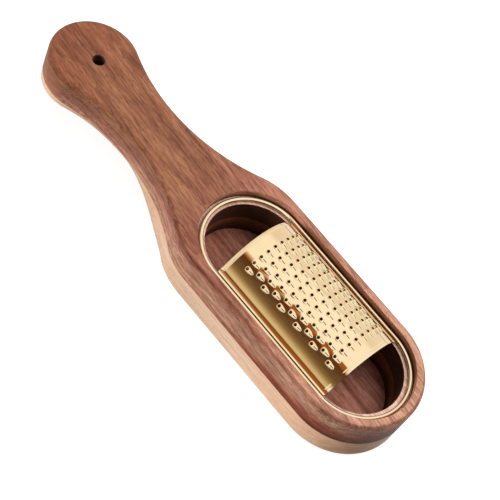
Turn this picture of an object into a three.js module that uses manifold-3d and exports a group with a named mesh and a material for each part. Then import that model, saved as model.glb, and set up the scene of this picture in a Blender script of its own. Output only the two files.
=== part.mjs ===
// Hand grater: a paddle-shaped wooden body with a well, and an arched toothed plate on a wire
// frame that lies in a rebate round the well's mouth and lifts out.
// Millimetres. The origin is the middle of the footprint on the underside. +X is the nose,
// -X the handle and +Z up.
import * as THREE from "three";
import { mergeGeometries, mergeVertices } from "three/addons/utils/BufferGeometryUtils.js";
import Module from "manifold-3d";

// Outline of the body, seen from above
const noseRadius = 40;
const straightLength = 97.3;
const shoulderRadius = 45;
const waistRadius = 121;
const waistHalfWidth = 17.2;
const handleEndRadius = 27.3;

// The two glued boards
const bodyHeight = 35.5;
const seamHeight = 16.2;
const topEdgeRadius = 3;
const bottomEdgeRadius = 2.5;

// Hollow under the handle, measured from the nose arc's centre towards the handle
const reliefStart = 127.3;
const reliefRun = 51.4;
const reliefFlat = 22.5;
const reliefRise = 13.2;
const reliefReturn = 4.5;

// Hanging hole
const hangingHoleRadius = 3.75;
const hangingHoleInset = 30.7;
const hangingHoleEase = 0.5;

// Well, its rebate and its floor board
const wellRadius = 28.4;
const wellStraight = 88;
const rebateRadius = 33.9;
const rebateDepth = 5.2;
const rimEase = 0.4;
const floorHeight = 4.5;
const floorThickness = 2.3;
const floorClearance = 0.3;

// Wire frame that rests on the rebate's ledge
const wireRadius = 1.6;
const wireClearance = 0.8;

// Arched grating plate
const sheetThickness = 0.55;
const plateLength = 89.6;
const plateShift = 2.2;
const plateClearance = 0.3;
const flangeWidth = 1.3;
const flangeDrop = 0.4;
const flangeCornerRadius = 1;
const footRadius = 2;
const crownRadius = 27;
const flankAngle = THREE.MathUtils.degToRad(48.3);
const notchLength = 6.2;
const beadInset = 1.3;
const beadWidth = 0.9;
const beadHeight = 0.25;

// Punched teeth
const holeRadius = 0.9;
const rimWidth = 0.25;
const toothHeight = 1;
const toothHead = 1.6;
const toothTail = 4.5;
const toothHalfWidth = 1.45;
const columnPitch = 6.74;
const columnMargin = 10.5;
const rowPitch = 5.04;
// Leaf outline of a tooth from the tail's tip to the head: shares of the tail's length, or of the
// head's where negative, and of the half width
const leafShares = [[1, 0], [0.2, 1], [-0.6, 0.8], [-1, 0]];

// Every cut runs past the surface that it leaves by this much
const overrun = 5;
const weldDistance = 0.0001;

// Facets
const quarterSteps = 18;
const shoulderSteps = 8;
const waistSteps = 12;
const handleSteps = 16;
const edgeSteps = 4;
const wellSteps = 10;
const wireSides = 8;
const holeSides = 8;
const hangingHoleSides = 24;
const footSteps = 3;

const wasm = await Module();
wasm.setup();

// Places that follow from the sizes above
const shoulderDrop = noseRadius - shoulderRadius;
const waistOffset = waistHalfWidth + waistRadius;
const shoulderToWaist = Math.sqrt((shoulderRadius + waistRadius) ** 2 - (waistOffset - shoulderDrop) ** 2);
const waistToHandle = Math.sqrt((handleEndRadius + waistRadius) ** 2 - waistOffset ** 2);
const bodyLength = noseRadius + straightLength + shoulderToWaist + waistToHandle + handleEndRadius;
const noseX = bodyLength / 2 - noseRadius;
const shoulderX = noseX - straightLength;
const waistX = shoulderX - shoulderToWaist;
const handleX = waistX - waistToHandle;
const shoulderAngle = Math.atan2(waistOffset - shoulderDrop, waistX - shoulderX);
const handleAngle = Math.atan2(waistOffset, waistX - handleX);
const wellMiddle = noseX - wellStraight / 2;
const ledgeHeight = bodyHeight - rebateDepth;
const ringRadius = rebateRadius - wireClearance - wireRadius;
const flangeEdge = ringRadius - wireRadius - plateClearance;
const footHalfWidth = flangeEdge - flangeWidth;
const flangeTop = ledgeHeight + 2 * wireRadius - flangeDrop;
const plateStart = wellMiddle + plateShift - plateLength / 2;
const flankRun = footHalfWidth - (crownRadius + footRadius) * Math.sin(flankAngle);
const flankBase = flangeTop + footRadius * (1 - Math.cos(flankAngle));
const crownHeight = flankBase + flankRun * Math.tan(flankAngle) - crownRadius * Math.cos(flankAngle);
const rowAngle = rowPitch / crownRadius;
const rowCount = Math.floor(2 * flankAngle / rowAngle) + 1;
const columnCount = Math.floor((plateLength - 2 * columnMargin) / columnPitch) + 1;

function arc(centreX, centreY, radius, start, end) {
  return new THREE.EllipseCurve(centreX, centreY, radius, radius, start, end, end < start);
}

function toSolid(geometry) {
  const bare = geometry.clone();
  bare.deleteAttribute("normal");
  bare.deleteAttribute("uv");
  const welded = mergeVertices(bare, weldDistance);
  return new wasm.Manifold(new wasm.Mesh({
    numProp: 3,
    vertProperties: welded.attributes.position.array,
    triVerts: welded.index.array,
  }));
}

function toGeometry(solid) {
  const mesh = solid.getMesh();
  const geometry = new THREE.BufferGeometry();
  geometry.setAttribute("position", new THREE.Float32BufferAttribute(mesh.vertProperties, 3));
  geometry.setIndex([...mesh.triVerts]);
  geometry.computeVertexNormals();
  return geometry;
}

// Skin between loops of equal length. Each loop runs counterclockwise as seen from the last.
function skinIndex(loopCount, loopLength, closed) {
  const index = [];
  const bands = closed ? loopCount : loopCount - 1;
  for (let band = 0; band < bands; band += 1) {
    const low = band * loopLength;
    const high = ((band + 1) % loopCount) * loopLength;
    for (let i = 0; i < loopLength; i += 1) {
      const j = (i + 1) % loopLength;
      index.push(low + i, low + j, high + j);
      index.push(low + i, high + j, high + i);
    }
  }
  return index;
}

function fromLoops(loops, index) {
  const geometry = new THREE.BufferGeometry().setFromPoints(loops.flat());
  geometry.setIndex(index);
  return geometry;
}

// Upper half of the paddle outline, from the nose's tip to the handle's tip, drawn in by inset.
// All its arcs are tangent to each other, so an inset only changes their radii.
function halfOutline(inset) {
  const nose = arc(noseX, 0, noseRadius - inset, 0, Math.PI / 2).getPoints(quarterSteps);
  const shoulder = arc(shoulderX, shoulderDrop, shoulderRadius - inset, Math.PI / 2, shoulderAngle);
  const waist = arc(waistX, waistOffset, waistRadius + inset, shoulderAngle - Math.PI, handleAngle - Math.PI);
  const handle = arc(handleX, 0, handleEndRadius - inset, handleAngle, Math.PI);
  return [
    ...nose,
    ...shoulder.getPoints(shoulderSteps),
    ...waist.getPoints(waistSteps).slice(1),
    ...handle.getPoints(handleSteps).slice(1),
  ];
}

function paddleLoop(inset, heightAt) {
  const half = halfOutline(inset);
  const mirrored = half.slice(1, -1).reverse().map((p) => new THREE.Vector2(p.x, -p.y));
  return [...half, ...mirrored].map((p) => new THREE.Vector3(p.x, p.y, heightAt(p.x)));
}

// Solid board between paddle loops, capped by strips across from each point to its mirror image
function paddleBoard(loops) {
  const count = loops[0].length;
  const top = (loops.length - 1) * count;
  const index = skinIndex(loops.length, count, false);
  for (let i = 0; i < count / 2; i += 1) {
    const next = i + 1;
    const mirror = (count - i) % count;
    const nextMirror = count - next;
    if (next !== nextMirror) {
      index.push(top + i, top + next, top + nextMirror);
      index.push(i, nextMirror, next);
    }
    if (i !== mirror) {
      index.push(top + i, top + nextMirror, top + mirror);
      index.push(i, mirror, nextMirror);
    }
  }
  return toSolid(fromLoops(loops, index));
}

// Quarter-round edge as pairs of inset and height below the edge's face
function roundedEdge(radius) {
  return Array.from({ length: edgeSteps + 1 }, (_, step) => {
    const angle = (step / edgeSteps) * Math.PI / 2;
    return { inset: radius * (1 - Math.sin(angle)), depth: radius * (1 - Math.cos(angle)) };
  });
}

// Underside: flat below the body, hollowed under the handle, lower again at its end
function undersideAt(x) {
  const start = noseX - reliefStart;
  const full = start - reliefRun;
  const turn = full - reliefFlat;
  const rise = 1 - THREE.MathUtils.smoothstep(x, full, start);
  const back = 1 - THREE.MathUtils.smoothstep(x, handleX - handleEndRadius, turn);
  return reliefRise * rise - reliefReturn * back;
}

// Prism with round ends, the form of the well and of everything that follows it
function stadium(radius, low, high) {
  const shape = new THREE.Shape();
  shape.absarc(noseX, 0, radius, -Math.PI / 2, Math.PI / 2, false);
  shape.absarc(noseX - wellStraight, 0, radius, Math.PI / 2, 3 * Math.PI / 2, false);
  shape.closePath();
  const options = { depth: high - low, bevelEnabled: false, curveSegments: wellSteps };
  return new THREE.ExtrudeGeometry(shape, options).translate(0, 0, low);
}

function stadiumLoop(radius, height) {
  const front = arc(noseX, 0, radius, -Math.PI / 2, Math.PI / 2).getPoints(2 * wellSteps);
  const back = arc(noseX - wellStraight, 0, radius, Math.PI / 2, 3 * Math.PI / 2).getPoints(2 * wellSteps);
  return [...front, ...back].map((p) => new THREE.Vector3(p.x, p.y, height));
}

// Plug with a flared mouth, turned about the hanging hole's axis; it reaches from low to high
function hangingHolePlug(low, high, flareAtTop) {
  const wide = hangingHoleRadius + hangingHoleEase;
  const profile = flareAtTop
    ? [[0, low - overrun], [hangingHoleRadius, low - overrun], [hangingHoleRadius, high - hangingHoleEase],
      [wide, high], [wide, high + overrun], [0, high + overrun]]
    : [[0, low - overrun], [wide, low - overrun], [wide, low],
      [hangingHoleRadius, low + hangingHoleEase], [hangingHoleRadius, high + overrun], [0, high + overrun]];
  const points = profile.map(([radius, height]) => new THREE.Vector2(radius, height));
  const plug = new THREE.LatheGeometry(points, hangingHoleSides).rotateX(Math.PI / 2);
  return toSolid(plug.translate(handleX - handleEndRadius + hangingHoleInset, 0, 0));
}

// Dark upper board: rounded top edge, well right through, stepped rebate with an eased rim
function walnutBody() {
  const loops = [paddleLoop(0, () => seamHeight)];
  for (const { inset, depth } of roundedEdge(topEdgeRadius).reverse()) {
    loops.push(paddleLoop(inset, () => bodyHeight - depth));
  }
  const rimLoops = [
    stadiumLoop(rebateRadius, bodyHeight - rimEase),
    stadiumLoop(rebateRadius + rimEase + overrun, bodyHeight + overrun),
  ];
  return paddleBoard(loops)
    .subtract(toSolid(stadium(wellRadius, seamHeight - overrun, bodyHeight)))
    .subtract(toSolid(stadium(rebateRadius, ledgeHeight, bodyHeight + overrun)))
    .subtract(capped(rimLoops))
    .subtract(hangingHolePlug(seamHeight, bodyHeight, true));
}

// Solid between two stadium loops, with a fan from the first point over each cap
function capped(loops) {
  const count = loops[0].length;
  const top = (loops.length - 1) * count;
  const index = skinIndex(loops.length, count, false);
  for (let i = 1; i + 1 < count; i += 1) {
    index.push(0, i + 1, i);
    index.push(top, top + i, top + i + 1);
  }
  return toSolid(fromLoops(loops, index));
}

// Pale lower board: rounded bottom edge, blind well, hollow under the handle
function mapleBase() {
  const loops = roundedEdge(bottomEdgeRadius)
    .map(({ inset, depth }) => paddleLoop(inset, (x) => undersideAt(x) + depth));
  loops.push(paddleLoop(0, () => seamHeight));
  const low = undersideAt(handleX - handleEndRadius + hangingHoleInset);
  return paddleBoard(loops)
    .subtract(toSolid(stadium(wellRadius, floorHeight - floorThickness, seamHeight + overrun)))
    .subtract(hangingHolePlug(low, seamHeight, false));
}

// Board that lies in the blind well
function walnutFloor() {
  return toSolid(stadium(wellRadius - floorClearance, floorHeight - floorThickness, floorHeight));
}

// Round wire bent to the well's outline; its lowest facet lies flat on the ledge
function wireRing() {
  const corner = wireRadius / Math.cos(Math.PI / wireSides);
  const loops = Array.from({ length: wireSides }, (_, side) => {
    const angle = ((2 * side + 1) / wireSides - 1 / 2) * Math.PI;
    const height = ledgeHeight + wireRadius + corner * Math.sin(angle);
    return stadiumLoop(ringRadius + corner * Math.cos(angle), height);
  });
  return toSolid(fromLoops(loops, skinIndex(wireSides, loops[0].length, true)));
}

// Right half of the arched section at a distance above the sheet's upper face, from beyond the
// flange's edge to the crown. Flange, foot, straight flank and crown are tangent.
function halfArch(distance) {
  const footArc = arc(
    footHalfWidth,
    flangeTop + footRadius,
    footRadius - distance,
    -Math.PI / 2,
    -Math.PI / 2 - flankAngle,
  );
  const crown = crownAngles().map((angle) => new THREE.Vector2(
    (crownRadius + distance) * Math.sin(angle),
    crownHeight + (crownRadius + distance) * Math.cos(angle),
  ));
  const edge = new THREE.Vector2(flangeEdge + overrun, flangeTop + distance);
  return [edge, ...footArc.getPoints(footSteps), ...crown];
}

// The crown's facets meet halfway between the rows of teeth, so each tooth stands on one facet
function crownAngles() {
  const angles = [flankAngle];
  for (let half = rowCount - 3 / 2; half > 0; half -= 1) {
    angles.push(half * rowAngle / 2);
  }
  return angles;
}

// Arched sheet between two distances from its upper face, along X from start
function archedSheet(low, high, start, length) {
  const under = halfArch(low);
  const over = halfArch(high);
  const mirrored = (points) => points.map((p) => new THREE.Vector2(-p.x, p.y));
  const section = new THREE.Shape([
    ...under,
    ...mirrored(under).reverse(),
    ...mirrored(over),
    ...over.reverse(),
  ]);
  const alongX = new THREE.Matrix4().makeBasis(
    new THREE.Vector3(0, 1, 0),
    new THREE.Vector3(0, 0, 1),
    new THREE.Vector3(1, 0, 0),
  );
  const sheet = new THREE.ExtrudeGeometry(section, { depth: length, bevelEnabled: false });
  return toSolid(sheet.applyMatrix4(alongX).translate(start, 0, 0));
}

// Plan of the plate: a rectangle with small round corners
function platePlan() {
  const left = plateStart + flangeCornerRadius;
  const right = plateStart + plateLength - flangeCornerRadius;
  const side = flangeEdge - flangeCornerRadius;
  const shape = new THREE.Shape();
  shape.absarc(right, side, flangeCornerRadius, 0, Math.PI / 2, false);
  shape.absarc(left, side, flangeCornerRadius, Math.PI / 2, Math.PI, false);
  shape.absarc(left, -side, flangeCornerRadius, Math.PI, 3 * Math.PI / 2, false);
  shape.absarc(right, -side, flangeCornerRadius, 3 * Math.PI / 2, 2 * Math.PI, false);
  shape.closePath();
  const top = crownHeight + crownRadius + toothHeight;
  const options = { depth: top + overrun, bevelEnabled: false, curveSegments: footSteps };
  return toSolid(new THREE.ExtrudeGeometry(shape, options));
}

// One punched tooth over the origin: a leaf-shaped blister that rises from inside the sheet to a
// round rim, with its tail towards the nose
function toothBlister() {
  const half = leafShares.map(([along, across]) => new THREE.Vector3(
    along * (along > 0 ? toothTail : toothHead),
    across * toothHalfWidth,
    -sheetThickness / 2,
  ));
  const mirrored = half.slice(1, -1).reverse().map((p) => new THREE.Vector3(p.x, -p.y, p.z));
  const base = [...half, ...mirrored];
  const rim = arc(0, 0, holeRadius + rimWidth, 0, 2 * Math.PI).getPoints(base.length).slice(0, -1);
  const index = skinIndex(2, base.length, false);
  for (let i = 1; i + 1 < base.length; i += 1) {
    index.push(0, i + 1, i);
    index.push(base.length, base.length + i, base.length + i + 1);
  }
  return fromLoops([base, rim.map((p) => new THREE.Vector3(p.x, p.y, toothHeight))], index);
}

// Pin that pierces a tooth and the sheet
function toothPin() {
  const length = toothHeight + 2 * overrun;
  return new THREE.CylinderGeometry(holeRadius, holeRadius, length, holeSides).rotateX(Math.PI / 2);
}

// Places of the teeth: columns along the plate, with each second column shifted by half a row
function toothPlaces() {
  const places = [];
  for (let column = 0; column < columnCount; column += 1) {
    const rows = rowCount - column % 2;
    for (let row = 0; row < rows; row += 1) {
      const angle = (row - (rows - 1) / 2) * rowAngle;
      places.push(new THREE.Matrix4().makeRotationX(-angle).setPosition(
        plateStart + columnMargin + column * columnPitch,
        crownRadius * Math.sin(angle),
        crownHeight + crownRadius * Math.cos(angle),
      ));
    }
  }
  return places;
}

function atTeeth(geometry) {
  return toSolid(mergeGeometries(toothPlaces().map((place) => geometry.clone().applyMatrix4(place))));
}

// Arched plate with a pressed bead near both ends, punched teeth, and a notch in one flange
function graterPlate() {
  const sheet = archedSheet(-sheetThickness, 0, plateStart - overrun, plateLength + 2 * overrun);
  const firstBead = plateStart + beadInset;
  const lastBead = plateStart + plateLength - beadInset - beadWidth;
  const notch = new THREE.BoxGeometry(notchLength, flangeWidth + overrun, sheetThickness + overrun)
    .translate(wellMiddle, footHalfWidth + (flangeWidth + overrun) / 2, flangeTop);
  return sheet
    .add(archedSheet(-sheetThickness / 2, beadHeight, firstBead, beadWidth))
    .add(archedSheet(-sheetThickness / 2, beadHeight, lastBead, beadWidth))
    .intersect(platePlan())
    .subtract(toSolid(notch))
    .add(atTeeth(toothBlister()))
    .subtract(atTeeth(toothPin()));
}

const walnut = { color: 0x8a5a47, roughness: 0.6, metalness: 0 };
const maple = { color: 0xd2a780, roughness: 0.6, metalness: 0 };
const brass = { color: 0xe3c178, roughness: 0.3, metalness: 1 };

function piece(name, solid, look) {
  const mesh = new THREE.Mesh(toGeometry(solid), new THREE.MeshStandardMaterial(look));
  mesh.name = name;
  return mesh;
}

const handGrater = new THREE.Group();
handGrater.add(
  piece("walnut_body", walnutBody(), walnut),
  piece("maple_base", mapleBase(), maple),
  piece("walnut_floor", walnutFloor(), walnut),
  piece("wire_ring", wireRing(), brass),
  piece("grater_plate", graterPlate(), brass),
);

export default handGrater;
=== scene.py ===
import math
import bmesh
import bpy
from mathutils import Matrix, Vector


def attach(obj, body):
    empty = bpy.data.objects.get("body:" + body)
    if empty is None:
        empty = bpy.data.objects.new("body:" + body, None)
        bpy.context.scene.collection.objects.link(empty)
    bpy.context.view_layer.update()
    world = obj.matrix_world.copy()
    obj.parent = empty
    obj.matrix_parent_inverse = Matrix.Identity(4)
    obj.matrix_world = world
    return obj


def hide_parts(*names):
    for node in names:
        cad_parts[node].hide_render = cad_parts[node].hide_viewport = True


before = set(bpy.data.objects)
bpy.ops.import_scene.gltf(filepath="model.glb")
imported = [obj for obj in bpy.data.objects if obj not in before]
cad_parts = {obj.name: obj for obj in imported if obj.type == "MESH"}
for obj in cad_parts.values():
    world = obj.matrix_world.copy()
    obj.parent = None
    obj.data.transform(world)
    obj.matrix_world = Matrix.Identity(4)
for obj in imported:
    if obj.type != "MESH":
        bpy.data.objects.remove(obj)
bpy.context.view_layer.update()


# Walnut body: the dark upper board of the paddle. Cut from one plank, its top edge rounded over
# with a router, the round-ended well cut through it and a step milled round the well's mouth.
MM = 0.001
NOSE_RADIUS, STRAIGHT, SHOULDER_RADIUS = 40.0, 97.3, 45.0
WAIST_RADIUS, WAIST_HALF, HANDLE_RADIUS = 121.0, 17.2, 27.3
BODY_HEIGHT, SEAM_HEIGHT, TOP_EDGE = 35.5, 16.2, 3.0
WELL_RADIUS, WELL_STRAIGHT, FLOOR_TOP = 28.4, 88.0, 4.5
REBATE_RADIUS, REBATE_DEPTH, RIM_EASE = 33.9, 5.2, 0.5
HOLE_RADIUS, HOLE_INSET, HOLE_EASE = 3.75, 30.7, 0.6
waist_offset = WAIST_HALF + WAIST_RADIUS
shoulder_drop = NOSE_RADIUS - SHOULDER_RADIUS
shoulder_to_waist = math.sqrt((SHOULDER_RADIUS + WAIST_RADIUS) ** 2 - (waist_offset - shoulder_drop) ** 2)
waist_to_handle = math.sqrt((HANDLE_RADIUS + WAIST_RADIUS) ** 2 - waist_offset ** 2)
half_length = (NOSE_RADIUS + STRAIGHT + shoulder_to_waist + waist_to_handle + HANDLE_RADIUS) / 2
nose_x = half_length - NOSE_RADIUS
shoulder_x = nose_x - STRAIGHT
waist_x = shoulder_x - shoulder_to_waist
handle_x = waist_x - waist_to_handle
hole_x = -half_length + HOLE_INSET


def arc(cx, cy, radius, start, end, steps):
    """Points round a centre, both ends included."""
    angles = [start + (end - start) * i / steps for i in range(steps + 1)]
    return [(cx + radius * math.cos(a), cy + radius * math.sin(a)) for a in angles]


def paddle_loop(inset, height):
    """Paddle outline drawn in by inset; height is a number or a function of x."""
    up = math.atan2(waist_offset - shoulder_drop, waist_x - shoulder_x)
    back = math.atan2(waist_offset, waist_x - handle_x)
    half = arc(nose_x, 0, NOSE_RADIUS - inset, 0, math.pi / 2, 40)
    half += [(nose_x - STRAIGHT * k / 12, NOSE_RADIUS - inset) for k in range(1, 12)]
    half += arc(shoulder_x, shoulder_drop, SHOULDER_RADIUS - inset, math.pi / 2, up, 18)
    half += arc(waist_x, waist_offset, WAIST_RADIUS + inset, up - math.pi, back - math.pi, 34)[1:]
    half += arc(handle_x, 0, HANDLE_RADIUS - inset, back, math.pi, 36)[1:]
    loop = half + [(x, -y) for x, y in half[-2:0:-1]]
    return [Vector((x, y, height(x) if callable(height) else height)) * MM for x, y in loop]


def stadium_loop(radius, height):
    """Round-ended outline of the well, at the given distance from its middle line."""
    front = arc(nose_x, 0, radius, -math.pi / 2, math.pi / 2, 48)
    back = arc(nose_x - WELL_STRAIGHT, 0, radius, math.pi / 2, 3 * math.pi / 2, 48)
    return [Vector((x, y, height)) * MM for x, y in front + back]


def round_loop(cx, radius, height):
    """Level circle round a point on the object's middle line."""
    return [Vector((x, y, height)) * MM for x, y in arc(cx, 0, radius, 0, 2 * math.pi, 48)[:-1]]


def round_over(radius, steps):
    """Quarter round as (inset, depth) pairs from the face to the side."""
    return [(radius * (1 - math.sin(a)), radius * (1 - math.cos(a)))
            for a in (math.pi / 2 * i / steps for i in range(steps + 1))]


def skin(name, loops, ring=False, slats=False):
    """Solid between loops of equal length, capped, or closed on itself for a ring. Slats across a
    paddle's lower cap let it follow a curve from nose to handle."""
    mesh = bmesh.new()
    rows = [[mesh.verts.new(p) for p in loop] for loop in loops]
    pairs = list(zip(rows, rows[1:])) + ([(rows[-1], rows[0])] if ring else [])
    for low, high in pairs:
        for i in range(len(low)):
            j = (i + 1) % len(low)
            mesh.faces.new((low[i], low[j], high[j], high[i]))
    if slats:
        base, half = rows[0], len(rows[0]) // 2
        mesh.faces.new((base[0], base[-1], base[1]))
        for i in range(1, half - 1):
            mesh.faces.new((base[i], base[-i], base[-i - 1], base[i + 1]))
        mesh.faces.new((base[half - 1], base[half + 1], base[half]))
    elif not ring:
        mesh.faces.new(list(reversed(rows[0])))
    if not ring:
        mesh.faces.new(rows[-1])
    bmesh.ops.recalc_face_normals(mesh, faces=mesh.faces)
    data = bpy.data.meshes.new(name)
    mesh.to_mesh(data)
    mesh.free()
    piece = bpy.data.objects.new(name, data)
    bpy.context.collection.objects.link(piece)
    return piece


def settle(piece):
    """Turns the piece with its modifiers into a plain mesh."""
    bpy.context.view_layer.update()
    graph = bpy.context.evaluated_depsgraph_get()
    data = bpy.data.meshes.new_from_object(piece.evaluated_get(graph))
    piece.modifiers.clear()
    piece.data = data
    data.name = piece.name
    return piece


def carve(piece, cutters):
    """Cuts the cutters out of the piece and shades its soft edges smooth."""
    for cutter in cutters:
        cut = piece.modifiers.new(cutter.name, "BOOLEAN")
        cut.operation, cut.solver, cut.object = "DIFFERENCE", "EXACT", cutter
    settle(piece)
    for cutter in cutters:
        bpy.data.objects.remove(cutter)
    soften(piece, 32)
    return piece


def soften(piece, angle):
    """Shades smooth every edge that is flatter than the angle."""
    piece.data.shade_smooth()
    piece.data.set_sharp_from_angle(angle=math.radians(angle))
    even = piece.modifiers.new("even", "WEIGHTED_NORMAL")
    even.keep_sharp = True
    return settle(piece)


def hole_cutter(low, high):
    """Plug for the hanging hole, widening softly beyond both faces."""
    eased, overrun = round_over(HOLE_EASE, 4), 6
    loops = [round_loop(hole_x, HOLE_RADIUS + HOLE_EASE + overrun, low - overrun)]
    loops += [round_loop(hole_x, HOLE_RADIUS + inset, low + depth) for inset, depth in eased]
    loops += [round_loop(hole_x, HOLE_RADIUS + inset, high - depth) for inset, depth in reversed(eased)]
    loops.append(round_loop(hole_x, HOLE_RADIUS + HOLE_EASE + overrun, high + overrun))
    return skin("hole_cutter", loops)


walnut_loops = [paddle_loop(0, SEAM_HEIGHT), paddle_loop(0, SEAM_HEIGHT + 0.6)]
walnut_loops += [paddle_loop(inset, BODY_HEIGHT - depth)
                 for inset, depth in reversed(round_over(TOP_EDGE, 9))]
walnut_loops.append(paddle_loop(TOP_EDGE + 0.6, BODY_HEIGHT))
ledge = BODY_HEIGHT - REBATE_DEPTH
well_loops = [stadium_loop(WELL_RADIUS, SEAM_HEIGHT - 5)]
well_loops += [stadium_loop(WELL_RADIUS + inset, ledge - depth)
               for inset, depth in reversed(round_over(RIM_EASE, 4))]
well_loops += [stadium_loop(WELL_RADIUS + 1.0, ledge), stadium_loop(REBATE_RADIUS - 0.4, ledge)]
well_loops += [stadium_loop(REBATE_RADIUS, ledge), stadium_loop(REBATE_RADIUS, ledge + 0.4)]
well_loops += [stadium_loop(REBATE_RADIUS + inset, BODY_HEIGHT - depth)
               for inset, depth in reversed(round_over(RIM_EASE, 4))]
well_loops.append(stadium_loop(REBATE_RADIUS + RIM_EASE + 4, BODY_HEIGHT + 4))
walnut_body = carve(
    skin("walnut_board", walnut_loops),
    [skin("well_cutter", well_loops), hole_cutter(SEAM_HEIGHT - 8, BODY_HEIGHT)],
)


def linear(code):
    """sRGB hex colour as linear RGBA."""
    parts = [int(code[i:i + 2], 16) / 255 for i in (1, 3, 5)]
    return tuple(p / 12.92 if p <= 0.04045 else ((p + 0.055) / 1.055) ** 2.4 for p in parts) + (1.0,)


def node(tree, kind, settings=None, **links):
    """Adds a node; settings are its attributes, links name its inputs (in_0 is input 0)."""
    made = tree.nodes.new(kind)
    for key, value in (settings or {}).items():
        if key == "stops":
            marks = made.color_ramp.elements
            marks[0].position, marks[0].color = value[0]
            marks[1].position, marks[1].color = value[-1]
            for place, colour in value[1:-1]:
                marks.new(place).color = colour
        else:
            setattr(made, key, value)
    for key, value in links.items():
        socket = made.inputs[int(key[3:])] if key.startswith("in_") else made.inputs[key.replace("_", " ")]
        if isinstance(value, bpy.types.NodeSocket):
            tree.links.new(value, socket)
        else:
            socket.default_value = value
    return made


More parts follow.
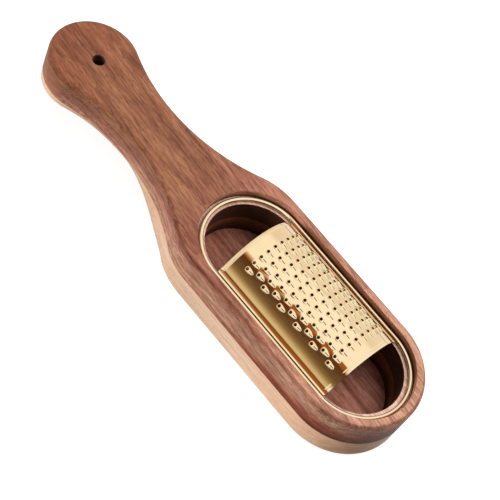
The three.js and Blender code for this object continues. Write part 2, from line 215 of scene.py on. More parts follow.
def wood(name, tones, hues, pore, gloss, figure):
    """Timber, worked and finished as its name says. Growth rings round a pith below the board give
    the broad streaks, stretched noise the fibres, and short stretched specks the open pores. The
    figure holds the board's place in the tree (shift) and the pith's place, in millimetres, the
    lean of its grain in degrees, the width of a ring, the share of the tone that fibres give, the
    hue's drift per metre along x, y and z with its start, and the y of a dark vein, if it has one."""
    made = bpy.data.materials.new(name)
    made.use_nodes = True
    tree = made.node_tree
    shader = tree.nodes["Principled BSDF"]
    place = node(tree, "ShaderNodeTexCoord").outputs["Object"]
    mm = node(tree, "ShaderNodeMapping", in_0=place, in_3=(1000, 1000, 1000),
              in_1=figure["shift"]).outputs[0]
    lean = node(tree, "ShaderNodeMapping", in_0=mm, in_2=(0, 0, math.radians(figure["lean"]))).outputs[0]

    # Slow waviness of the rings: waves about 90 mm long that sway some 6 mm sideways
    slow = node(tree, "ShaderNodeMapping", in_0=lean, in_3=(0.011, 0.05, 0.05)).outputs[0]
    wander = node(tree, "ShaderNodeTexNoise", in_0=slow, Scale=1.0, Detail=2.0).outputs["Color"]
    sway = node(tree, "ShaderNodeVectorMath", {"operation": "MULTIPLY_ADD"}, in_0=wander, in_1=(0, 26, 26),
                in_2=lean).outputs[0]
    cross = node(tree, "ShaderNodeMapping", in_0=sway, in_1=figure["pith"], in_3=(0, 1, 1)).outputs[0]
    reach = node(tree, "ShaderNodeVectorMath", {"operation": "LENGTH"}, in_0=cross).outputs["Value"]
    ring = node(tree, "ShaderNodeMath", {"operation": "MULTIPLY"}, in_0=reach, in_1=1 / figure["ring"])
    ring = node(tree, "ShaderNodeMath", {"operation": "FRACT"}, in_0=ring.outputs[0]).outputs[0]
    ring = node(tree, "ShaderNodeMapRange", {"interpolation_type": "SMOOTHSTEP"}, Value=ring,
                in_1=0.0, in_2=1.0, in_3=0.0, in_4=1.0).outputs[0]

    # Fibre strokes a millimetre apart and about 10 mm long, over streaks 5 mm wide and 50 mm long
    fine = node(tree, "ShaderNodeMapping", in_0=lean, in_3=(0.1, 0.95, 0.95)).outputs[0]
    fibre = node(tree, "ShaderNodeTexNoise", in_0=fine, Scale=1.0, Detail=3.0, Roughness=0.6).outputs["Fac"]
    broad = node(tree, "ShaderNodeMapping", in_0=lean, in_3=(0.02, 0.22, 0.22)).outputs[0]
    streak = node(tree, "ShaderNodeTexNoise", in_0=broad, Scale=1.0, Detail=3.0).outputs["Fac"]
    tone = node(tree, "ShaderNodeMix", {"data_type": "FLOAT"}, in_0=0.22, in_2=streak, in_3=ring).outputs[0]
    tone = node(tree, "ShaderNodeMix", {"data_type": "FLOAT"}, in_0=figure["fibre"], in_2=tone,
                in_3=fibre).outputs[0]
    stops = [(0.36, linear(tones[0])), (0.5, linear(tones[1])), (0.64, linear(tones[2]))]
    colour = node(tree, "ShaderNodeValToRGB", {"stops": stops}, in_0=tone).outputs[0]

    # The hue drifts along, across and down the plank, with slow patches in between
    drift = node(tree, "ShaderNodeMapping", in_0=lean, in_3=(0.012, 0.04, 0.04)).outputs[0]
    patch = node(tree, "ShaderNodeTexNoise", in_0=drift, Scale=1.0, Detail=1.0).outputs["Fac"]
    *slope, start = figure["drift"]
    along = node(tree, "ShaderNodeVectorMath", {"operation": "DOT_PRODUCT"}, in_0=place,
                 in_1=slope).outputs["Value"]
    along = node(tree, "ShaderNodeMath", {"operation": "ADD"}, in_0=along, in_1=start).outputs[0]
    hue = node(tree, "ShaderNodeMix", {"data_type": "FLOAT"}, in_0=0.35, in_2=along, in_3=patch).outputs[0]
    stops = [(k / (len(hues) - 1), linear(code)) for k, code in enumerate(hues)]
    tint = node(tree, "ShaderNodeValToRGB", {"stops": stops}, in_0=hue).outputs[0]
    colour = node(tree, "ShaderNodeMix", {"data_type": "RGBA", "blend_type": "MULTIPLY"},
                  in_0=1.0, in_6=colour, in_7=tint).outputs[2]

    # A vein is a darker streak that runs the length of the board, a couple of millimetres wide
    spot = node(tree, "ShaderNodeSeparateXYZ", in_0=place).outputs
    if "vein" in figure:
        off = node(tree, "ShaderNodeMath", {"operation": "MULTIPLY_ADD"}, in_0=patch, in_1=0.006,
                   in_2=spot["Y"]).outputs[0]
        off = node(tree, "ShaderNodeMath", {"operation": "SUBTRACT"}, in_0=off,
                   in_1=figure["vein"] * MM).outputs[0]
        off = node(tree, "ShaderNodeMath", {"operation": "ABSOLUTE"}, in_0=off).outputs[0]
        vein = node(tree, "ShaderNodeMapRange", {"interpolation_type": "SMOOTHSTEP"}, Value=off,
                    in_1=0.0, in_2=0.0024, in_3=0.6, in_4=0.0).outputs[0]
        colour = node(tree, "ShaderNodeMix", {"data_type": "RGBA", "blend_type": "MULTIPLY"},
                      in_0=vein, in_6=colour, in_7=linear("#a87a6c")).outputs[2]

    # Painted shade: the rounded edge, between the top and the side, is darkened into a line,
    # and less so towards the handle
    facing = node(tree, "ShaderNodeTexCoord").outputs["Normal"]
    facing = node(tree, "ShaderNodeSeparateXYZ", in_0=facing).outputs["Z"]
    off_top = node(tree, "ShaderNodeMapRange", {"interpolation_type": "SMOOTHSTEP"}, Value=facing,
                   in_1=0.99, in_2=0.87).outputs[0]
    off_side = node(tree, "ShaderNodeMapRange", {"interpolation_type": "SMOOTHSTEP"}, Value=facing,
                    in_1=0.35, in_2=0.75).outputs[0]
    edge = node(tree, "ShaderNodeMath", {"operation": "MULTIPLY"}, in_0=off_top, in_1=off_side).outputs[0]
    edge_shade_fade = node(tree, "ShaderNodeMapRange", Value=spot["X"], in_1=-0.03, in_2=0.01, in_3=0.2,
                in_4=0.7).outputs[0]
    edge = node(tree, "ShaderNodeMath", {"operation": "MULTIPLY"}, in_0=edge, in_1=edge_shade_fade).outputs[0]
    colour = node(tree, "ShaderNodeMix", {"data_type": "RGBA", "blend_type": "MULTIPLY"},
                  in_0=edge, in_6=colour, in_7=linear("#c0a294")).outputs[2]

    # Pores: dark dashes, drawn 0.5 mm wide and 4 mm long so that they show
    open_grain = node(tree, "ShaderNodeMapping", in_0=lean, in_3=(0.25, 2.0, 2.0)).outputs[0]
    speck = node(tree, "ShaderNodeTexNoise", in_0=open_grain, Scale=1.0, Detail=1.0).outputs["Fac"]
    dash = node(tree, "ShaderNodeMapRange", Value=speck, in_1=0.6, in_2=0.68, in_3=0.0, in_4=pore).outputs[0]
    colour = node(tree, "ShaderNodeMix", {"data_type": "RGBA", "blend_type": "MULTIPLY"},
                  in_0=dash, in_6=colour, in_7=linear("#5a3a30")).outputs[2]
    tree.links.new(colour, shader.inputs["Base Color"])

    rough = node(tree, "ShaderNodeMapRange", Value=fibre, in_1=0.3, in_2=0.7, in_3=gloss, in_4=gloss + 0.14)
    tree.links.new(rough.outputs[0], shader.inputs["Roughness"])
    relief = node(tree, "ShaderNodeMath", {"operation": "MULTIPLY_ADD"}, in_0=dash, in_1=-1.2, in_2=fibre)
    bump = node(tree, "ShaderNodeBump", Strength=0.5, Distance=0.00006, Height=relief.outputs[0])
    tree.links.new(bump.outputs[0], shader.inputs["Normal"])
    # The oil's sheen, kept low: the wood shows hardly any highlight
    shader.inputs["IOR"].default_value = 1.47
    shader.inputs["Specular IOR Level"].default_value = 0.28
    return made


# Black walnut, sanded and oiled: pinkish brown heartwood with soft streaks and open pores
walnut_figure = {"shift": (31, 7, 0), "pith": (0, 12, 62), "lean": 4.5, "ring": 5.2, "fibre": 0.6}
walnut_body.data.materials.append(wood(
    "black walnut, sanded and oiled",
    ("#7b5547", "#a37b66", "#c29b85"),
    ("#b89580", "#bfa792", "#c0a097", "#e6d2cc", "#f4ebe6", "#fff6ea", "#d4937c", "#8c4e34"), 0.5, 0.42,
    dict(walnut_figure, drift=(3.52, 1.66, -33.67, 1.393)),
))

# Routed walnut wall, with painted shade and light: much darker below the step, painted shade in the well,
# and above it on the rebate wall a painted shade by the wire that lightens to painted light at the top
walnut_body.data.materials.append(wood(
    "black walnut wall, painted shade and light",
    ("#9a6a50", "#ae7c62", "#c08c70"), ("#605850", "#706660", "#d8c8c0", "#ffffff"), 0.4, 0.6,
    dict(walnut_figure, shift=(80, -9, 0), lean=0.0, fibre=0.5, drift=(0, 0, 420, -12.8)),
))

# Routed walnut step: painted light, paler than the oiled faces, to lift it out of the shade of the rebate
# and the wire
walnut_body.data.materials.append(wood(
    "black walnut step, painted light",
    ("#98796a", "#b89886", "#ccb0a0"), ("#f4e0d0", "#ffffff"), 0.4, 0.6,
    dict(walnut_figure, drift=(3.3, -4, 0, 0.5)),
))

# Drilled walnut: the wall of the hanging hole, darkened with painted shade
walnut_body.data.materials.append(wood(
    "black walnut hole, painted shade",
    ("#3c261c", "#483024", "#543a2c"), ("#ffffff", "#f4ece8"), 0.3, 0.7,
    dict(walnut_figure, drift=(3.3, -4, 0, 0.5)),
))


def line_openings(piece):
    """Gives the walls of the well the second material, the step round its mouth the third and the
    wall of the hanging hole the last."""
    last = len(piece.data.materials) - 1
    for face in piece.data.polygons:
        x, y, z = face.center / MM
        wall = abs(face.normal.z) < 0.6
        from_axis = math.hypot(x - min(max(x, nose_x - WELL_STRAIGHT), nose_x), y)
        inside = wall and from_axis < REBATE_RADIUS + 0.2 and z > FLOOR_TOP - 3
        drilled = wall and math.hypot(x - hole_x, y) < HOLE_RADIUS + 0.3
        step = not wall and from_axis < REBATE_RADIUS + 0.1 and ledge - 1 < z < ledge + 0.2
        face.material_index = last if drilled else 1 if inside else 2 if step else 0


line_openings(walnut_body)
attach(walnut_body, "wooden_body")
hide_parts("walnut_body")


# Maple base: the pale lower board, glued below the walnut with its edges flush. Its underside is
# flat below the body and hollowed under the handle, and its bottom edge is lightly rounded.
RELIEF_START, RELIEF_RUN, RELIEF_FLAT, RELIEF_RISE, RELIEF_RETURN = 127.3, 51.4, 22.5, 13.2, 4.5
BOTTOM_EDGE, FLOOR_THICK = 2.5, 2.3


def ease(t):
    """Smooth step from 0 to 1."""
    t = min(1.0, max(0.0, t))
    return t * t * (3 - 2 * t)


def underside(x):
    """Height of the underside: flat under the well, rising to the waist and a little down again."""
    start = nose_x - RELIEF_START
    turn = start - RELIEF_RUN - RELIEF_FLAT
    fall = RELIEF_RETURN * ease((turn - x) / (turn + half_length))
    return RELIEF_RISE * ease((start - x) / RELIEF_RUN) - fall


maple_loops = [paddle_loop(BOTTOM_EDGE + 0.6, underside)]
maple_loops += [paddle_loop(inset, lambda x, d=depth: underside(x) + d)
                for inset, depth in round_over(BOTTOM_EDGE, 7)]
maple_loops += [paddle_loop(0, SEAM_HEIGHT - 0.6), paddle_loop(0, SEAM_HEIGHT)]
pocket_loops = [stadium_loop(WELL_RADIUS, FLOOR_TOP - FLOOR_THICK),
                stadium_loop(WELL_RADIUS, SEAM_HEIGHT + 5)]
maple_base = carve(
    skin("maple_board", maple_loops, slats=True),
    [skin("pocket_cutter", pocket_loops), hole_cutter(underside(hole_x), SEAM_HEIGHT + 8)],
)

# Hard maple, sanded and oiled: creamy tan, close-grained, with faint fine fibres
maple_figure = {"shift": (-60, 3, 5), "pith": (0, -20, 90), "lean": -0.8, "ring": 4.0, "fibre": 0.4}
maple_base.data.materials.append(wood(
    "hard maple, sanded and oiled",
    ("#d2b499", "#dcc0a8", "#e6cdb9"),
    ("#ffffff", "#f2e6da", "#d6c7bb", "#e4dcd5", "#fff8f2", "#fbdcc0"), 0.25, 0.45,
    dict(maple_figure, drift=(3.3, -4, 0, 0.5)),
))

# Routed and drilled maple: painted shade, dark as the walnut and darker still towards the bottom,
# so that the well and the hanging hole each read as one dark hollow
maple_base.data.materials.append(wood(
    "hard maple hollow, painted shade",
    ("#6c4430", "#7a4f39", "#885b43"), ("#7a7470", "#8f8884", "#f2eee8", "#ffffff"), 0.3, 0.6,
    dict(maple_figure, lean=0.0, fibre=0.5, drift=(0, 0, 87, -0.39)),
))
line_openings(maple_base)
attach(maple_base, "wooden_body")
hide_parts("maple_base")


# Walnut floor: a thin board with round ends that closes the well at the bottom. It lies in the
# maple with a fine gap round it.
FLOOR_GAP, FLOOR_EDGE = 0.3, 0.3
floor_radius = WELL_RADIUS - FLOOR_GAP
floor_loops = [stadium_loop(floor_radius, FLOOR_TOP - FLOOR_THICK)]
floor_loops += [stadium_loop(floor_radius - inset, FLOOR_TOP - depth)
                for inset, depth in reversed(round_over(FLOOR_EDGE, 3))]
walnut_floor = soften(skin("walnut_floor_board", floor_loops), 32)

# Walnut offcut, planed: reddish brown, matt, with one dark vein and open pores. Its colour is lighter
# towards
# the nose and the near side: painted light where the light falls into the well
walnut_floor.data.materials.append(wood(
    "walnut offcut, planed, with painted light",
    ("#7a5044", "#946452", "#ae7c6a"), ("#c8b4aa", "#d8c4b8", "#fcf0ec", "#ffffff"), 0.6, 0.5,
    {"shift": (120, 40, 0), "pith": (0, -14, 30), "lean": 3.0, "ring": 4.4, "fibre": 0.5,
     "drift": (3.3, -4, 0, 0.5), "vein": 6},
))
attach(walnut_floor, "wooden_body")
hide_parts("walnut_floor")


# Wire ring: round brass-coloured wire, bent to a loop with round ends and butted together, lying
# on the step round the well. It carries the plate between its long sides.
WIRE_RADIUS, WIRE_LIFT, RING_RADIUS, RING_SHIFT, WIRE_SIDES = 1.25, 1.35, 31.5, 0.5, 20
wire_loops = [
    stadium_loop(RING_RADIUS + WIRE_RADIUS * math.cos(a), ledge + WIRE_LIFT + WIRE_RADIUS * math.sin(a))
    for a in (2 * math.pi * k / WIRE_SIDES for k in range(WIRE_SIDES))
]
wire_ring = soften(skin("wire_loop", wire_loops, ring=True), 60)
wire_ring.data.transform(Matrix.Translation((RING_SHIFT * MM, 0, 0)))


def brass(name, tones, gloss, grit):
    """Brass between two tones, in patches about 15 mm wide as it starts to tarnish. Grit is the
    spacing of its faint polishing marks in millimetres; they run along the object."""
    made = bpy.data.materials.new(name)
    made.use_nodes = True
    tree = made.node_tree
    shader = tree.nodes["Principled BSDF"]
    place = node(tree, "ShaderNodeTexCoord").outputs["Object"]
    marks = node(tree, "ShaderNodeMapping", in_0=place, in_3=(60, 1000 / grit, 1000 / grit)).outputs[0]
    haze = node(tree, "ShaderNodeTexNoise", in_0=marks, Scale=1.0, Detail=3.0).outputs["Fac"]
    tarnish = node(tree, "ShaderNodeTexNoise", in_0=place, Scale=70.0, Detail=2.0).outputs["Fac"]
    stops = [(0.35, linear(tones[0])), (0.65, linear(tones[1]))]
    tint = node(tree, "ShaderNodeValToRGB", {"stops": stops}, in_0=tarnish).outputs[0]
    tree.links.new(tint, shader.inputs["Base Color"])
    rough = node(tree, "ShaderNodeMapRange", Value=haze, in_1=0.3, in_2=0.7, in_3=gloss, in_4=gloss + 0.035)
    tree.links.new(rough.outputs[0], shader.inputs["Roughness"])
    bump = node(tree, "ShaderNodeBump", Strength=0.25, Distance=0.000002, Height=haze)
    tree.links.new(bump.outputs[0], shader.inputs["Normal"])
    shader.inputs["Metallic"].default_value = 1.0
    return made


# Drawn brass wire, polished: warm yellow with sharp highlights
wire_ring.data.materials.append(brass("drawn brass wire, polished", ("#f8e4bc", "#fbebc9"), 0.08, 0.4))
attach(wire_ring, "grating_insert")
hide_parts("wire_ring")


# Grater plate: thin brass sheet, punched flat with staggered rows of pierced teeth, then bent to an
# arch with a narrow flange along each side. Each tooth is a raised leaf with a hole at its head.
SHEET, PLATE_LENGTH, PLATE_SHIFT = 0.55, 89.6, 2.2
CROWN_RADIUS, CROWN_ANGLE, FLANK_ANGLE, FLANK = 27.0, 46.5, 51.5, 9.6
FOOT, FOOT_ANGLE, FLANGE, FLANGE_ANGLE, LIP, LIP_ANGLE = 0.5, 37.0, 2.1, 33.0, 0.6, 10.0
COLUMNS, ROWS, COLUMN_PITCH, ROW_PITCH, FIRST_COLUMN = 11, 10, 6.74, 4.77, 10.5
HOLE, TOOTH_HEAD, TOOTH_TAIL, TOOTH_HALF, TOOTH_HEIGHT = 0.92, 1.35, 4.5, 1.25, 0.58
SCORE_START, SCORE_END, SCORE_HALF, SCORE_DEPTH = 1.6, 4.2, 0.2, 0.15
FLANGE_EDGE, ARCH_TOP = 30.1, 50.28
plate_start = nose_x - WELL_STRAIGHT / 2 + PLATE_SHIFT - PLATE_LENGTH / 2

# The bend across the sheet, as (distance from the middle line, slope in degrees): a round crown,
# flanks that steepen a little downwards, a hollow foot and a narrow lip that lies along the wire
bend = [(0.0, 0.0), (CROWN_RADIUS * math.radians(CROWN_ANGLE), CROWN_ANGLE)]
bend += [(bend[-1][0] + FLANK, FLANK_ANGLE)]
bend += [(bend[-1][0] + FOOT, FOOT_ANGLE)]
bend += [(bend[-1][0] + FLANGE, FLANGE_ANGLE)]
bend += [(bend[-1][0] + LIP, LIP_ANGLE)]
half_girth = bend[-1][0]
profile = [(0.0, 0.0, ARCH_TOP, 0.0)]
for (start, slope), (end, next_slope) in zip(bend, bend[1:]):
    steps = max(2, round((end - start) / 0.1))
    for k in range(1, steps + 1):
        run, across, height, angle = profile[-1]
        turned = math.radians(slope + (next_slope - slope) * k / steps)
        middle, length = (angle + turned) / 2, (end - start) / steps
        across, height = across + length * math.cos(middle), height - length * math.sin(middle)
        profile.append((run + length, across, height, turned))
# The bend is then widened evenly, by about 6 percent, until its edge meets the wire, so lengths
# across the sheet come out up to that much longer than their values here
stretch = FLANGE_EDGE / profile[-1][1]


def on_arch(x, girth, rise):
    """Place on the bent sheet, at a distance girth from its middle line, rise above its face."""
    side, run = math.copysign(1, girth), min(abs(girth), half_girth)
    index = next((i for i, row in enumerate(profile) if row[0] >= run - 1e-6), len(profile) - 1)
    last, after = profile[max(0, index - 1)], profile[index]
    share = (run - last[0]) / (after[0] - last[0]) if after[0] > last[0] else 0.0
    across, height, angle = (last[k] + (after[k] - last[k]) * share for k in (1, 2, 3))
    across, height = across * stretch + rise * math.sin(angle), height + rise * math.cos(angle)
    return Vector((x, side * across, height)) * MM


def leaf(x):
    """Half width of a tooth at x from its hole's centre, towards the nose."""
    if x < 0:
        return TOOTH_HALF * math.sqrt(max(0.0, 1 - (x / TOOTH_HEAD) ** 2))
    return TOOTH_HALF * max(0.0, 1 - (x / TOOTH_TAIL) ** 2.6) ** 0.7


# A cell starts this far behind its hole's centre. Its borders are divided evenly, across and along
# the sheet, so that neighbouring cells and the blank sheet meet them point to point.
CELL_BACK = (COLUMN_PITCH - TOOTH_HEAD - TOOTH_TAIL) / 2 + TOOTH_HEAD
CELL_SIDE, CELL_END = 8, 6


def tooth_cell():
    """One flat cell of the sheet with its tooth: a leaf that climbs from its tail to the edge of the
    hole at its head, scored along the middle. Cells half a row apart share the points of their borders."""
    low, high, half = -CELL_BACK, COLUMN_PITCH - CELL_BACK, ROW_PITCH / 2
    border = [(low + (high - low) * k / CELL_END, -half) for k in range(CELL_END)]
    border += [(high, -half + ROW_PITCH * k / CELL_SIDE) for k in range(CELL_SIDE)]
    border += [(high - (high - low) * k / CELL_END, half) for k in range(CELL_END)]
    border += [(low, half - ROW_PITCH * k / CELL_SIDE) for k in range(CELL_SIDE)]
    middle, reach = (TOOTH_TAIL - TOOTH_HEAD) / 2, (TOOTH_TAIL + TOOTH_HEAD) / 2
    mesh = bmesh.new()
    rows = []
    for share in (0.0, 0.55, 0.85, 1.0, 1.15, 1.35, 1.6, 2.1, 2.6, 3.0):
        row = []
        for x, y in border:
            # Each line runs from the cell's border over the leaf's outline to the rim of the hole,
            # and those beside the score keep to its two edges
            angle = math.atan2(y, x - middle)
            outline = Vector((middle + reach * math.cos(angle), 0.0))
            outline.y = math.copysign(leaf(outline.x), y) if abs(y) > 1e-9 else 0.0
            rim = Vector((HOLE * math.cos(angle), HOLE * math.sin(angle)))
            if 1e-9 < abs(y) and abs(angle) < 0.25:
                outline.y = rim.y = math.copysign(SCORE_HALF, y)
            spot = Vector((x, y)).lerp(outline, share) if share <= 1 else outline.lerp(rim, (share - 1) / 2)
            # The leaf climbs from its tail to the hole, and falls away within 0.8 mm at its head
            climb = min(1.0, 1 - spot.x / (TOOTH_TAIL + 0.3)) * min(1.0, (spot.x + TOOTH_HEAD) / 0.8)
            rise = TOOTH_HEIGHT * max(0.0, climb) * ease((share - 0.85) / 0.75)
            if abs(y) < 1e-9 and SCORE_START < spot.x < SCORE_END:
                rise = max(rise - SCORE_DEPTH, 0.0)
            row.append(mesh.verts.new((spot.x, spot.y, rise)))
        rows.append(row)
    for outer, inner in zip(rows, rows[1:]):
        for i in range(len(outer)):
            j = (i + 1) % len(outer)
            mesh.faces.new((outer[i], outer[j], inner[j], inner[i]))
    data = bpy.data.meshes.new("tooth_cell")
    mesh.to_mesh(data)
    mesh.free()
    return bpy.data.objects.new("tooth_cell", data)


def punched_rows():
    """Tree that lays the cell out in columns, every second column a row shorter and half a row off."""
    tree = bpy.data.node_groups.new("punched_rows", "GeometryNodeTree")
    sockets = {}
    for title, kind in (("Cell", "Geometry"), ("Columns", "Int"), ("Rows", "Int"), ("Column pitch", "Float"),
                        ("Row pitch", "Float"), ("Finish", "Material")):
        made = tree.interface.new_socket(name=title, in_out="INPUT", socket_type="NodeSocket" + kind)
        sockets[title] = made.identifier
    tree.interface.new_socket(name="Sheet", in_out="OUTPUT", socket_type="NodeSocketGeometry")
    given = node(tree, "NodeGroupInput").outputs
    total = node(tree, "ShaderNodeMath", {"operation": "MULTIPLY"}, in_0=given["Columns"],
                 in_1=given["Rows"])
    line = node(tree, "GeometryNodeMeshLine", Count=total.outputs[0])
    index = node(tree, "GeometryNodeInputIndex").outputs[0]
    ratio = node(tree, "ShaderNodeMath", {"operation": "DIVIDE"}, in_0=index, in_1=given["Rows"]).outputs[0]
    column = node(tree, "ShaderNodeMath", {"operation": "FLOOR"}, in_0=ratio).outputs[0]
    row = node(tree, "ShaderNodeMath", {"operation": "MODULO"}, in_0=index, in_1=given["Rows"]).outputs[0]
    odd = node(tree, "ShaderNodeMath", {"operation": "MODULO"}, in_0=column, in_1=2.0).outputs[0]
    last = node(tree, "ShaderNodeMath", {"operation": "SUBTRACT"}, in_0=given["Rows"], in_1=1.0).outputs[0]
    middle = node(tree, "ShaderNodeMath", {"operation": "MULTIPLY"}, in_0=last, in_1=0.5).outputs[0]
    shift = node(tree, "ShaderNodeMath", {"operation": "MULTIPLY"}, in_0=odd, in_1=0.5).outputs[0]
    rank = node(tree, "ShaderNodeMath", {"operation": "SUBTRACT"}, in_0=row, in_1=middle).outputs[0]
    rank = node(tree, "ShaderNodeMath", {"operation": "ADD"}, in_0=rank, in_1=shift).outputs[0]
    along = node(tree, "ShaderNodeMath", {"operation": "MULTIPLY"}, in_0=column, in_1=given["Column pitch"])
    across = node(tree, "ShaderNodeMath", {"operation": "MULTIPLY"}, in_0=rank, in_1=given["Row pitch"])
    spot = node(tree, "ShaderNodeCombineXYZ", in_0=along.outputs[0], in_1=across.outputs[0]).outputs[0]
    placed = node(tree, "GeometryNodeSetPosition", Geometry=line.outputs[0], Position=spot).outputs[0]
    is_last = node(tree, "ShaderNodeMath", {"operation": "COMPARE"}, in_0=row, in_1=last,
                   in_2=0.1).outputs[0]
    spare = node(tree, "ShaderNodeMath", {"operation": "MULTIPLY"}, in_0=is_last, in_1=odd).outputs[0]
    kept = node(tree, "GeometryNodeDeleteGeometry", {"domain": "POINT"}, Geometry=placed,
                Selection=spare).outputs[0]
    laid = node(tree, "GeometryNodeInstanceOnPoints", Points=kept, Instance=given["Cell"]).outputs[0]
    whole = node(tree, "GeometryNodeRealizeInstances", Geometry=laid).outputs[0]
    whole = node(tree, "GeometryNodeSetMaterial", Geometry=whole, Material=given["Finish"]).outputs[0]
    node(tree, "NodeGroupOutput", in_0=whole)
    return tree, sockets


# Brass sheet, rolled and polished: a pale gold mirror, wavy round each punched tooth
sheet_brass = brass("brass sheet, punched and polished", ("#f8e0b2", "#fbe7bc"), 0.02, 0.5)
# Cut edges of the holes and the sheet, and the scores: dark brown, painted shade
painted_edge_shade = brass("brass edge, painted shade", ("#5a4224", "#6e522e"), 0.5, 0.3)
punched = tooth_cell()
bpy.context.collection.objects.link(punched)
rows_tree, rows_sockets = punched_rows()
rows = punched.modifiers.new("rows", "NODES")
rows.node_group = rows_tree
for title, value in (("Columns", COLUMNS), ("Rows", ROWS), ("Column pitch", COLUMN_PITCH),
                     ("Row pitch", ROW_PITCH), ("Finish", sheet_brass)):
    rows[rows_sockets[title]] = value
settle(punched)

STRIP, NOSE_STRIP_SLOPE, HANDLE_STRIP_SLOPE = 1.8, 0.03, 0.22
CROWN_STRIP_END, FLANK_STRIP_START = 19.0, 28.4
CREASE, CREASE_HALF, CREASE_OFF, CORNER, DISH = 0.12, 0.35, 0.3, 1.0, 0.05
first_x, last_x = -FIRST_COLUMN, PLATE_LENGTH - FIRST_COLUMN
cells_start, cells_end = -CELL_BACK, COLUMNS * COLUMN_PITCH - CELL_BACK
row_step = ROW_PITCH / CELL_SIDE
# Lines of the blank margins on the flank, foot and lip, by their distance from the middle line
outer_rows = [25.0, 26.2, 27.3, 28.4, 29.5, 30.5] + [bend[2][0] + FOOT * k / 4 for k in range(5)]
outer_rows += [bend[3][0] + FLANGE * k / 3 for k in (1, 2, 3)] + [half_girth - LIP / 2, half_girth]


def blank(mesh, xs, ys):
    """Flat stretch of sheet between the given lines."""
    grid = [[mesh.verts.new((x, y, 0)) for x in xs] for y in ys]
    for low, high in zip(grid, grid[1:]):
        for i in range(len(xs) - 1):
            mesh.faces.new((low[i], low[i + 1], high[i + 1], high[i]))


def strip_rise(x, girth):
    """A strip along each end of the plate is turned down a little, behind a shallow crease. It
    stops at the foot, and at the nose end it shows only on the crown and low on the flank."""
    from_end = min(x - first_x, last_x - x)
    at_nose = last_x - x < x - first_x
    slope = NOSE_STRIP_SLOPE if at_nose else HANDLE_STRIP_SLOPE
    off = (from_end - STRIP - CREASE_OFF) / CREASE_HALF
    crease = CREASE * math.cos(math.pi / 2 * off) ** 2 if abs(off) < 1 else 0.0
    share = min(1.0, max(0.0, (bend[3][0] - abs(girth)) / FOOT))
    if at_nose:
        share = min(share, max(0.0, (CROWN_STRIP_END - abs(girth)) / 2, abs(girth) - FLANK_STRIP_START))
    return -share * (slope * max(0.0, STRIP - from_end) + crease)


def dish_rise(x, y):
    """The punch draws the sheet up slightly round every tooth."""
    fade_x = min(1.0, max(0.0, (x - cells_start) / 3), max(0.0, (cells_end - x) / 3))
    fade_y = min(1.0, max(0.0, (ROWS * ROW_PITCH / 2 - abs(y)) / 2.5))
    wave_x = math.cos(math.pi * x / COLUMN_PITCH)
    wave_y = math.cos(2 * math.pi * (y - ROW_PITCH / 2) / ROW_PITCH)
    return DISH * wave_x * wave_y * fade_x * fade_y


sheet = bmesh.new()
sheet.from_mesh(punched.data)
end_lines = [0, 0.12, 0.4, 1.0, 1.6, 1.8, 1.9, 2.0, 2.1, 2.2, 2.3, 2.4, 2.55, 2.9]
left_lines = [first_x + d for d in end_lines] + [-6.5, -5.0, -3.5, cells_start]
right_lines = [cells_end, 73.7, 75.2] + [last_x - d for d in reversed(end_lines)]
inner_rows = [row_step * k for k in range(-CELL_SIDE * ROWS // 2, CELL_SIDE * ROWS // 2 + 1)]
all_rows = [-y for y in reversed(outer_rows)] + inner_rows + outer_rows
blank(sheet, left_lines, all_rows)
blank(sheet, right_lines, all_rows)
for column in range(COLUMNS):
    xs = [column * COLUMN_PITCH - CELL_BACK + COLUMN_PITCH * k / CELL_END for k in range(CELL_END + 1)]
    edge = (ROWS - column % 2) * ROW_PITCH / 2
    side = [edge] + [y for y in inner_rows if y > edge + 0.01] + outer_rows
    blank(sheet, xs, side)
    blank(sheet, xs, [-y for y in reversed(side)])
WELD = 0.002
bmesh.ops.remove_doubles(sheet, verts=sheet.verts, dist=WELD)

# A short notch is cut out of the far lip at the middle of the frame
NOTCH, NOTCH_DEPTH = 6.2, LIP + FLANGE / 3
notch_x = PLATE_LENGTH / 2 - PLATE_SHIFT - FIRST_COLUMN
notched = [face for face in sheet.faces
           if abs(face.calc_center_median().x - notch_x) < NOTCH / 2
           and face.calc_center_median().y > half_girth - NOTCH_DEPTH]
bmesh.ops.delete(sheet, geom=notched, context="FACES")
sheet.faces.index_update()

# The scored faces get the dark edge material, painted shade along each tooth, and then the flat sheet is
# bent to its arch
scores = []
for face in sheet.faces:
    x, y, z = face.calc_center_median()
    column = round((x - SCORE_START - 1) / COLUMN_PITCH)
    from_hole = x - column * COLUMN_PITCH
    off = ((y / ROW_PITCH + (column % 2) / 2) % 1 - 0.5) * ROW_PITCH
    if abs(off) < SCORE_HALF and SCORE_START < from_hole < SCORE_END and z > 0.02:
        scores.append(face.index)
for vert in sheet.verts:
    x, girth, rise = vert.co
    from_end = min(x - first_x, last_x - x)
    corner = CORNER - math.sqrt(max(0.0, CORNER ** 2 - max(0.0, CORNER - from_end) ** 2))
    girth = math.copysign(min(abs(girth), half_girth - corner), girth)
    rise += strip_rise(x, girth) + dish_rise(x, girth)
    vert.co = on_arch(plate_start + FIRST_COLUMN + x, girth, rise)
bmesh.ops.recalc_face_normals(sheet, faces=sheet.faces)
if sum(face.normal.z * face.calc_area() for face in sheet.faces) < 0:
    bmesh.ops.reverse_faces(sheet, faces=sheet.faces)
sheet.faces.ensure_lookup_table()
for face in sheet.faces:
    face.material_index = 0  # the laid-out cells come with another slot than the blank sheet
for index in scores:
    sheet.faces[index].material_index = 1
punched.data.materials.clear()
punched.data.materials.append(sheet_brass)
punched.data.materials.append(painted_edge_shade)
sheet.to_mesh(punched.data)
sheet.free()
punched.name = "punched_arch"

# The sheet gets its thickness on its inner side, with the dark edge material, painted shade, on every cut
# edge
gauge = punched.modifiers.new("gauge", "SOLIDIFY")
gauge.thickness, gauge.offset = SHEET * MM, -1.0
gauge.material_offset_rim = 1
settle(punched)
punched.data.shade_smooth()
punched.data.set_sharp_from_angle(angle=math.radians(42))
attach(punched, "grating_insert")
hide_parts("grater_plate")


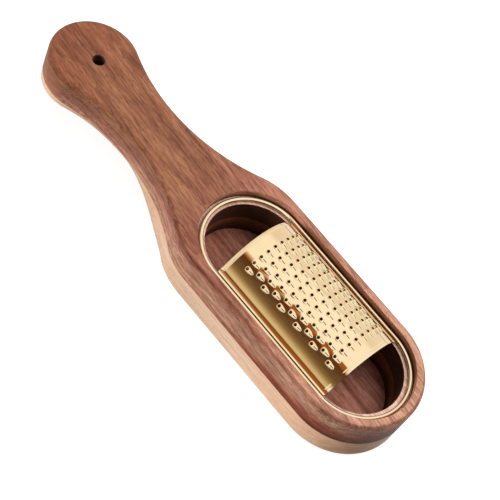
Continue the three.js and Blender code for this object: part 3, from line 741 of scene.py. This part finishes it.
# Camera: the photograph's own view, from the front right of the nose and 54 degrees up, turned so
# that the handle points up and to the left
target, reach, focal_pixels, photo_pixels = Vector((15.21, 17.37, 0)) * MM, 0.81252, 1383.8, 500
azimuth, elevation, roll = math.radians(22.014), math.radians(53.92), math.radians(31.185)
back = Vector((math.sin(azimuth) * math.cos(elevation), -math.cos(azimuth) * math.cos(elevation),
               math.sin(elevation)))
right = Vector((math.cos(azimuth), math.sin(azimuth), 0))
up = back.cross(right)
across = math.cos(roll) * right + math.sin(roll) * up
upward = -math.sin(roll) * right + math.cos(roll) * up
lens = bpy.data.cameras.new("camera")
lens.sensor_width, lens.lens, lens.clip_start = 36.0, 36.0 * focal_pixels / photo_pixels, 0.01
camera = bpy.data.objects.new("camera", lens)
bpy.context.collection.objects.link(camera)
facing = Matrix((across, upward, back)).transposed().to_4x4()
camera.matrix_world = Matrix.Translation(target + back * reach) @ facing
bpy.context.scene.camera = camera


# Floor: plain white card under the object. It shows the soft shadow that the object throws, and
# glows to the camera, and less in reflections, so that it reads as white but sheds little light.
HALF_FLOOR, GLOW, MIRRORED_GLOW = 3, 0.86, 0.35
floor_mesh = bpy.data.meshes.new("floor")
corners = [(x * HALF_FLOOR, y * HALF_FLOOR, 0) for x, y in ((-1, -1), (1, -1), (1, 1), (-1, 1))]
floor_mesh.from_pydata(corners, [], [(0, 1, 2, 3)])
floor = bpy.data.objects.new("floor", floor_mesh)
bpy.context.collection.objects.link(floor)
card = bpy.data.materials.new("white card, matt")
card.use_nodes = True
card_tree = card.node_tree
card_shader = card_tree.nodes["Principled BSDF"]
card_shader.inputs["Base Color"].default_value = linear("#909090")
card_shader.inputs["Roughness"].default_value = 0.9
seen = node(card_tree, "ShaderNodeLightPath").outputs
mirrored = node(card_tree, "ShaderNodeMath", {"operation": "MULTIPLY_ADD"}, in_0=seen["Is Glossy Ray"],
                in_1=MIRRORED_GLOW, in_2=seen["Is Camera Ray"]).outputs[0]
lift = node(card_tree, "ShaderNodeMath", {"operation": "MULTIPLY"}, in_0=mirrored, in_1=GLOW)
card_shader.inputs["Emission Color"].default_value = (1, 1, 1, 1)
card_tree.links.new(lift.outputs[0], card_shader.inputs["Emission Strength"])
floor_mesh.materials.append(card)


# Studio: a white tent with a dim warm gap at the front right, from low down to well up, a low soft
# fill at the front left and a large soft key lamp behind, to the right and high up
world = bpy.data.worlds.new("white tent")
bpy.context.scene.world = world
world.use_nodes = True
sky = world.node_tree
sky.nodes.clear()
aim = node(sky, "ShaderNodeTexCoord").outputs["Generated"]
level = node(sky, "ShaderNodeSeparateXYZ", in_0=aim).outputs["Z"]

# The gap from the horizon up: dim and warm, one pale band, then brown that turns to amber, and white
# at the top. Shiny metal takes its dark and light stripes from it.
stops = [(0.0, (0.45, 0.36, 0.28, 1)), (0.3, (0.5, 0.40, 0.30, 1)), (0.335, (1.0, 0.95, 0.88, 1)),
         (0.385, (0.80, 0.64, 0.54, 1)), (0.41, (0.66, 0.54, 0.36, 1)),
         (0.435, (0.43, 0.33, 0.18, 1)), (0.46, (0.26, 0.17, 0.085, 1)),
         (0.50, (0.15, 0.085, 0.04, 1)), (0.62, (0.10, 0.05, 0.027, 1)), (0.74, (0.12, 0.04, 0.015, 1)),
         (0.77, (0.31, 0.095, 0.016, 1)), (0.86, (0.38, 0.13, 0.025, 1)), (0.872, (1.0, 1.0, 1.0, 1))]
front = node(sky, "ShaderNodeValToRGB", {"stops": stops}, in_0=level).outputs[0]
path = node(sky, "ShaderNodeLightPath").outputs
side = node(sky, "ShaderNodeVectorMath", {"operation": "DOT_PRODUCT"}, in_0=aim,
            in_1=(0.7071, -0.7071, 0)).outputs["Value"]
gap = node(sky, "ShaderNodeMapRange", {"interpolation_type": "SMOOTHSTEP"}, Value=side, in_1=0.12,
           in_2=0.28).outputs[0]
east = node(sky, "ShaderNodeSeparateXYZ", in_0=aim).outputs["X"]
to_right = node(sky, "ShaderNodeMapRange", {"interpolation_type": "SMOOTHSTEP"}, Value=east,
                in_1=0.0, in_2=0.35).outputs[0]
low_down = node(sky, "ShaderNodeMapRange", Value=level, in_1=0.6, in_2=0.4).outputs[0]
low_right = node(sky, "ShaderNodeMath", {"operation": "MULTIPLY"}, in_0=to_right, in_1=low_down).outputs[0]
front = node(sky, "ShaderNodeMix", {"data_type": "RGBA"}, in_0=low_right, in_6=front,
             in_7=(0.10, 0.07, 0.05, 1)).outputs[2]

# The rest of the tent is nearly white, a little warmer low down
stops = [(0.0, (0.91, 0.84, 0.80, 1)), (0.7, (0.87, 0.78, 0.73, 1)), (0.85, (1.04, 1.0, 0.98, 1))]
rear = node(sky, "ShaderNodeValToRGB", {"stops": stops}, in_0=level).outputs[0]
tent = node(sky, "ShaderNodeMix", {"data_type": "RGBA"}, in_0=gap, in_6=rear, in_7=front).outputs[2]

# Matt surfaces get a dimmer tent, and less still from the low right, so that the round end of the
# nose falls into shade there
dimmed = node(sky, "ShaderNodeMix", {"data_type": "RGBA", "blend_type": "MULTIPLY"}, in_0=1.0,
              in_6=tent, in_7=(0.55, 0.55, 0.55, 1)).outputs[2]
dimmed = node(sky, "ShaderNodeMix", {"data_type": "RGBA", "blend_type": "MULTIPLY"}, in_0=low_right,
              in_6=dimmed, in_7=(0.35, 0.35, 0.35, 1)).outputs[2]

# White reflector card at the front right, close to the lens: it shows in reflections only, and the
# wood gets no light from it. The camera sees plain white all round.
card_edge = node(sky, "ShaderNodeMapRange", Value=east, in_1=-0.10, in_2=-0.05).outputs[0]
above = node(sky, "ShaderNodeMapRange", Value=level, in_1=-0.1, in_2=0.0).outputs[0]
reflector = node(sky, "ShaderNodeMath", {"operation": "MULTIPLY"}, in_0=card_edge, in_1=above).outputs[0]
shown = node(sky, "ShaderNodeMix", {"data_type": "RGBA"}, in_0=reflector, in_6=tent,
             in_7=(1, 1, 1, 1)).outputs[2]
light = node(sky, "ShaderNodeMix", {"data_type": "RGBA"}, in_0=path["Is Glossy Ray"], in_6=dimmed,
             in_7=shown).outputs[2]
tent = node(sky, "ShaderNodeMix", {"data_type": "RGBA"}, in_0=path["Is Camera Ray"], in_6=light,
            in_7=(1, 1, 1, 1)).outputs[2]
shine = node(sky, "ShaderNodeBackground", in_0=tent, in_1=1.0).outputs[0]
node(sky, "ShaderNodeOutputWorld", in_0=shine)

# Two square softboxes, aimed at the object: power in watts, place in metres
LAMP_SIZE = 0.5
for name, power, spot in (("key lamp", 6.0, (0.12, 0.32, 0.5)), ("fill lamp", 15.2, (-0.55, -0.95, 0.26))):
    lamp = bpy.data.lights.new(name, "AREA")
    lamp.shape, lamp.size, lamp.energy = "SQUARE", LAMP_SIZE, power
    softbox = bpy.data.objects.new(name, lamp)
    bpy.context.collection.objects.link(softbox)
    softbox.location, softbox.visible_glossy = spot, False
    softbox.rotation_euler = (Vector((0.02, 0, 0.02)) - softbox.location).to_track_quat("-Z", "Y").to_euler()

bpy.context.scene.view_settings.view_transform = "Standard"
